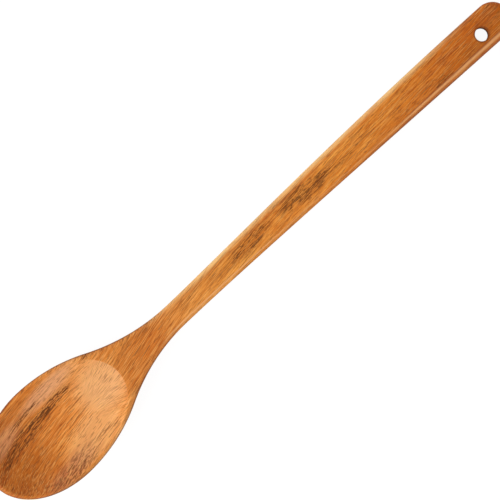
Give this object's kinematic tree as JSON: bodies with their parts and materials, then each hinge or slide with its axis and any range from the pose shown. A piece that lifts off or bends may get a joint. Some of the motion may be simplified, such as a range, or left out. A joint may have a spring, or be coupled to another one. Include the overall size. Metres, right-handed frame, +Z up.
{
  "type": "wooden spoon",
  "caption": "Long-handled wooden cooking spoon with an oval hollowed bowl, a slim neck and a flat, slowly widening handle with a hanging hole near its rounded end.",
  "frame": {"origin": "centre of the footprint of the overall box, on the surface that the spoon lies on with its hollow up", "axes": "+X runs from the bowl's tip to the end of the handle, +Y is to the left when looking along +X from above, and +Z is up, out of the hollow"},
  "size_m": [0.35, 0.0536, 0.0168],
  "materials": {
    "wood": "oiled satin, orange-brown with fine dark grain along the length"
  },
  "bodies": {
    "root": {"spoon": "wood"}
  },
  "joints": []
}
